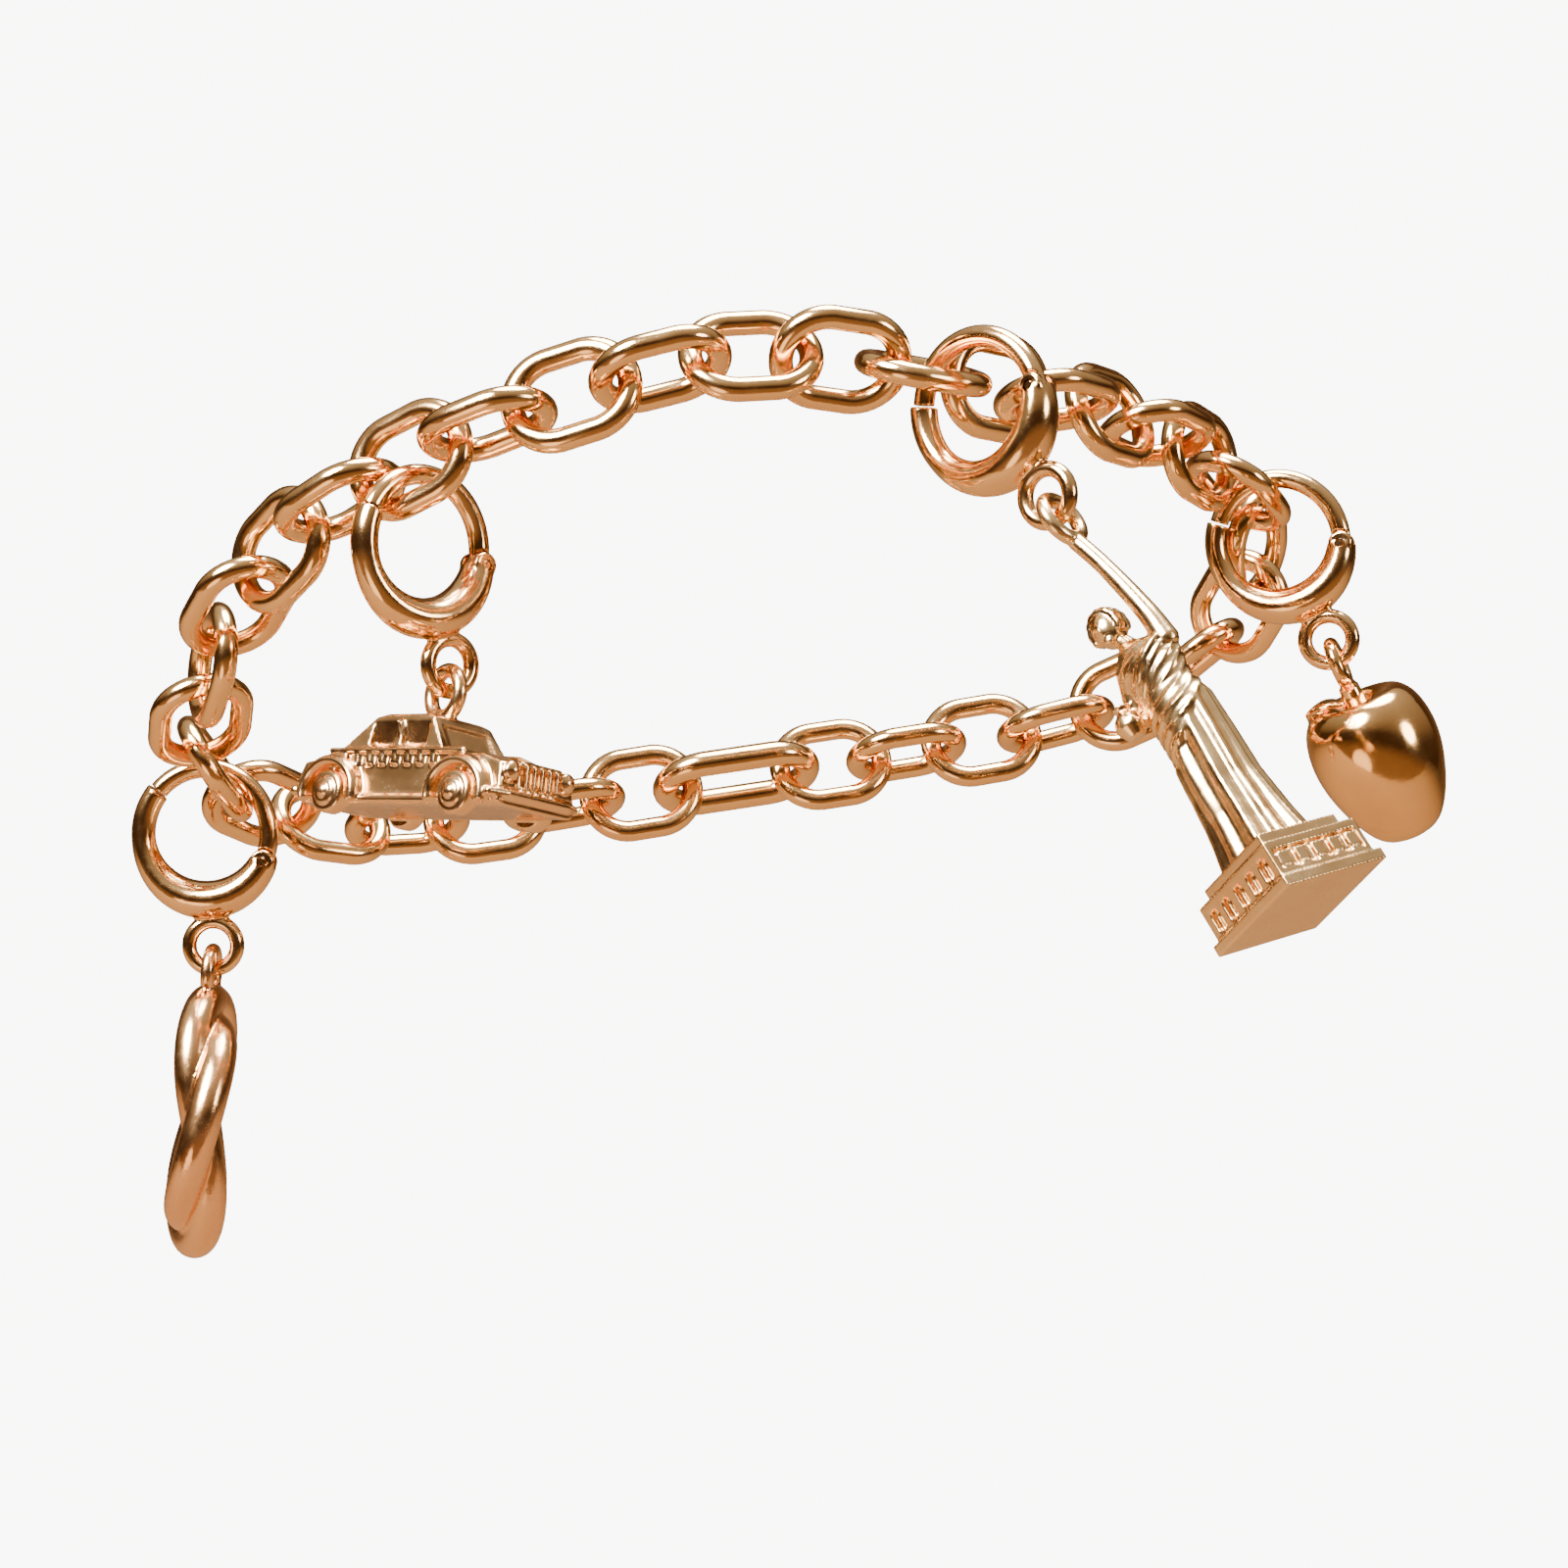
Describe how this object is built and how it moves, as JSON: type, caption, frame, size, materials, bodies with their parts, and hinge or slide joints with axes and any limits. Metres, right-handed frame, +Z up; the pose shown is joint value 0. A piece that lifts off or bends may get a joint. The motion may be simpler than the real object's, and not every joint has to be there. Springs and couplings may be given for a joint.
{
  "type": "charm bracelet",
  "caption": "Gold chain bracelet of interlocking oval links with charms, each on a ring with a hinged gate: a twisted loop, a saloon car, a draped figure and an apple.",
  "frame": {"origin": "the middle of the wrist, on the level of the middle of the chain as worn", "axes": "+X to the right as worn towards the viewer, -Y towards the viewer, +Z up"},
  "size_m": [0.0885, 0.06, 0.0602],
  "materials": {
    "links": "polished",
    "rings": "polished",
    "rose_gold": "polished",
    "yellow_gold": "polished",
    "pale_gold": "polished",
    "polished_gold": "polished"
  },
  "bodies": {
    "bracelet": {"link_01": "links", "link_02": "links", "link_03": "links", "link_04": "links", "link_05": "links", "link_06": "links", "link_07": "links", "link_08": "links", "link_09": "links", "link_10": "links", "link_11": "links", "link_12": "links", "link_13": "links", "link_14": "links", "link_15": "links", "link_16": "links", "link_17": "links", "link_18": "links", "link_19": "links", "link_20": "links", "link_21": "links", "link_22": "links", "link_23": "links", "link_24": "links", "link_25": "links", "link_26": "links", "link_27": "links", "link_28": "links", "link_29": "links", "link_30": "links", "link_31": "links", "link_32": "links", "link_33": "links", "clasp": "links", "twist_ring": "rings", "twist_ring_pin": "rings", "twist_charm": "rose_gold", "car_ring": "rings", "car_ring_pin": "rings", "car_charm": "yellow_gold", "statue_ring": "rings", "statue_ring_pin": "rings", "statue_charm": "pale_gold", "apple_ring": "rings", "apple_ring_pin": "rings", "apple_charm": "polished_gold"},
    "twist_gate": {"twist_ring_gate": "rings"},
    "car_gate": {"car_ring_gate": "rings"},
    "statue_gate": {"statue_ring_gate": "rings"},
    "apple_gate": {"apple_ring_gate": "rings"}
  },
  "joints": [
    {"name": "twist_gate_hinge", "type": "hinge", "parent": "bracelet", "child": "twist_gate", "pos_m": [-0.0328, 0.00071, -0.01718], "axis": [0.0035, 1, 0], "range_deg": [0, 45]},
    {"name": "car_gate_hinge", "type": "hinge", "parent": "bracelet", "child": "car_gate", "pos_m": [-0.01689, -0.01548, 0.00146], "axis": [-0.66, 0.7513, 0], "range_deg": [0, 45]},
    {"name": "statue_gate_hinge", "type": "hinge", "parent": "bracelet", "child": "statue_gate", "pos_m": [0.017, -0.02328, 0.01152], "axis": [0.6428, 0.766, 0], "range_deg": [0, 45]},
    {"name": "apple_gate_hinge", "type": "hinge", "parent": "bracelet", "child": "apple_gate", "pos_m": [0.03966, 0.00282, 0.00424], "axis": [0.3007, 0.9537, 0], "range_deg": [0, 45]}
  ]
}
